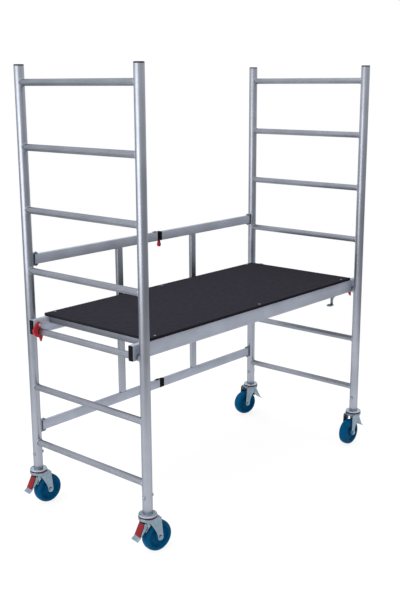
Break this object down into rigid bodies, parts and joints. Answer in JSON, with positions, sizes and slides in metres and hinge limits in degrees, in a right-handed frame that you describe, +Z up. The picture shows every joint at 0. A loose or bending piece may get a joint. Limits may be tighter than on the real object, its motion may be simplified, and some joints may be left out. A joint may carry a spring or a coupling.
{
  "type": "mobile work platform",
  "caption": "Small mobile work platform: two ladder frames on braked swivel casters, joined by a folding back gate and a black deck board hooked over the rungs.",
  "frame": {"origin": "on the floor, midway between the four uprights", "axes": "+X along the deck towards the right-hand ladder frame, +Y towards the folding gate, +Z up"},
  "size_m": [1.629, 0.7464, 1.8573],
  "materials": {
    "aluminium": "satin extruded aluminium",
    "zinc": "zinc-plated pressed steel",
    "black_plastic": "matt black moulded plastic",
    "red_plastic": "red moulded plastic",
    "blue_polyamide": "dark blue moulded wheel plastic",
    "deck_ply": "black film-faced plywood"
  },
  "bodies": {
    "frame": {"upright_front_left": "aluminium", "upright_back_left": "aluminium", "upright_front_right": "aluminium", "upright_back_right": "aluminium", "rung_left_1": "aluminium", "rung_left_2": "aluminium", "rung_left_3": "aluminium", "rung_left_4": "aluminium", "rung_left_5": "aluminium", "rung_left_6": "aluminium", "rung_left_7": "aluminium", "rung_right_1": "aluminium", "rung_right_2": "aluminium", "rung_right_3": "aluminium", "rung_right_4": "aluminium", "rung_right_5": "aluminium", "rung_right_6": "aluminium", "rung_right_7": "aluminium", "top_plug_front_left": "black_plastic", "top_plug_back_left": "black_plastic", "top_plug_front_right": "black_plastic", "top_plug_back_right": "black_plastic", "caster_socket_front_left": "zinc", "caster_socket_back_left": "zinc", "caster_socket_front_right": "zinc", "caster_socket_back_right": "zinc", "hinge_bracket_left_top": "aluminium", "hinge_bracket_left_bottom": "aluminium", "hinge_bracket_right_top": "aluminium", "hinge_bracket_right_bottom": "aluminium", "deck_board": "deck_ply", "deck_beam_front": "aluminium", "deck_beam_back": "aluminium", "deck_cross_member_left": "aluminium", "deck_cross_member_right": "aluminium"},
    "caster_front_left": {"caster_fork_front_left": "zinc"},
    "wheel_front_left": {"caster_wheel_front_left": "blue_polyamide"},
    "pedal_front_left": {"brake_pedal_front_left": "zinc"},
    "caster_back_left": {"caster_fork_back_left": "zinc"},
    "wheel_back_left": {"caster_wheel_back_left": "blue_polyamide"},
    "pedal_back_left": {"brake_pedal_back_left": "zinc"},
    "caster_front_right": {"caster_fork_front_right": "zinc"},
    "wheel_front_right": {"caster_wheel_front_right": "blue_polyamide"},
    "pedal_front_right": {"brake_pedal_front_right": "zinc"},
    "caster_back_right": {"caster_fork_back_right": "zinc"},
    "wheel_back_right": {"caster_wheel_back_right": "blue_polyamide"},
    "pedal_back_right": {"brake_pedal_back_right": "zinc"},
    "gate_left": {"gate_rail_left_top": "aluminium", "gate_rail_left_bottom": "aluminium", "gate_post_left": "aluminium", "hinge_fork_top": "black_plastic", "hinge_fork_bottom": "black_plastic"},
    "gate_right": {"gate_rail_right_top": "aluminium", "gate_rail_right_bottom": "aluminium", "gate_post_right": "aluminium", "hinge_tongue_top": "black_plastic", "hinge_tongue_bottom": "black_plastic"},
    "latch": {"latch_knob": "red_plastic"},
    "lock_back": {"deck_lock_back": "red_plastic"},
    "lock_front": {"deck_lock_front": "red_plastic"}
  },
  "joints": [
    {"name": "swivel_front_left", "type": "hinge", "parent": "frame", "child": "caster_front_left", "pos_m": [-0.74665, -0.329, 0.1565], "axis": [0, 0, 1], "continuous": true},
    {"name": "wheel_spin_front_left", "type": "hinge", "parent": "caster_front_left", "child": "wheel_front_left", "pos_m": [-0.70732, -0.33629, 0.0625], "axis": [0.1822, 0.9833, 0], "continuous": true},
    {"name": "pedal_lift_front_left", "type": "hinge", "parent": "caster_front_left", "child": "pedal_front_left", "pos_m": [-0.76238, -0.32608, 0.1345], "axis": [0.1822, 0.9833, 0], "range_deg": [0, 20]},
    {"name": "swivel_back_left", "type": "hinge", "parent": "frame", "child": "caster_back_left", "pos_m": [-0.74665, 0.329, 0.1565], "axis": [0, 0, 1], "continuous": true},
    {"name": "wheel_spin_back_left", "type": "hinge", "parent": "caster_back_left", "child": "wheel_back_left", "pos_m": [-0.70687, 0.32482, 0.0625], "axis": [0.1045, 0.9945, 0], "continuous": true},
    {"name": "pedal_lift_back_left", "type": "hinge", "parent": "caster_back_left", "child": "pedal_back_left", "pos_m": [-0.76256, 0.33067, 0.1345], "axis": [0.1045, 0.9945, 0], "range_deg": [0, 20]},
    {"name": "swivel_front_right", "type": "hinge", "parent": "frame", "child": "caster_front_right", "pos_m": [0.74665, -0.329, 0.1565], "axis": [0, 0, 1], "continuous": true},
    {"name": "wheel_spin_front_right", "type": "hinge", "parent": "caster_front_right", "child": "wheel_front_right", "pos_m": [0.70665, -0.329, 0.0625], "axis": [0, -1, 0], "continuous": true},
    {"name": "pedal_lift_front_right", "type": "hinge", "parent": "caster_front_right", "child": "pedal_front_right", "pos_m": [0.76265, -0.329, 0.1345], "axis": [0, -1, 0], "range_deg": [0, 20]},
    {"name": "swivel_back_right", "type": "hinge", "parent": "frame", "child": "caster_back_right", "pos_m": [0.74665, 0.329, 0.1565], "axis": [0, 0, 1], "continuous": true},
    {"name": "wheel_spin_back_right", "type": "hinge", "parent": "caster_back_right", "child": "wheel_back_right", "pos_m": [0.70784, 0.33868, 0.0625], "axis": [-0.2419, -0.9703, 0], "continuous": true},
    {"name": "pedal_lift_back_right", "type": "hinge", "parent": "caster_back_right", "child": "pedal_back_right", "pos_m": [0.76218, 0.32513, 0.1345], "axis": [-0.2419, -0.9703, 0], "range_deg": [0, 20]},
    {"name": "gate_fold", "type": "hinge", "parent": "frame", "child": "gate_left", "pos_m": [-0.70765, 0.329, 0.7175], "axis": [0, 0, 1], "range_deg": [0, 55]},
    {"name": "gate_mid", "type": "hinge", "parent": "gate_left", "child": "gate_right", "pos_m": [0.029, 0.329, 0.7175], "axis": [0, 0, 1], "range_deg": [-115, 0]},
    {"name": "latch_pull", "type": "slide", "parent": "gate_left", "child": "latch", "axis": [0, 0, -1], "range_m": [0, 0.006], "stiffness_N_per_m": 200, "springref_m": -0.01},
    {"name": "lock_back_swing", "type": "hinge", "parent": "frame", "child": "lock_back", "pos_m": [-0.75065, 0.2727, 0.8184], "axis": [0, 1, 0], "range_deg": [0, 55]},
    {"name": "lock_front_swing", "type": "hinge", "parent": "frame", "child": "lock_front", "pos_m": [0.75065, -0.2727, 0.8184], "axis": [0, -1, 0], "range_deg": [-19.5, 35]}
  ],
  "couplings": [
    {"joint": "gate_mid", "follows": "gate_fold", "ratio": -2.0855}
  ]
}
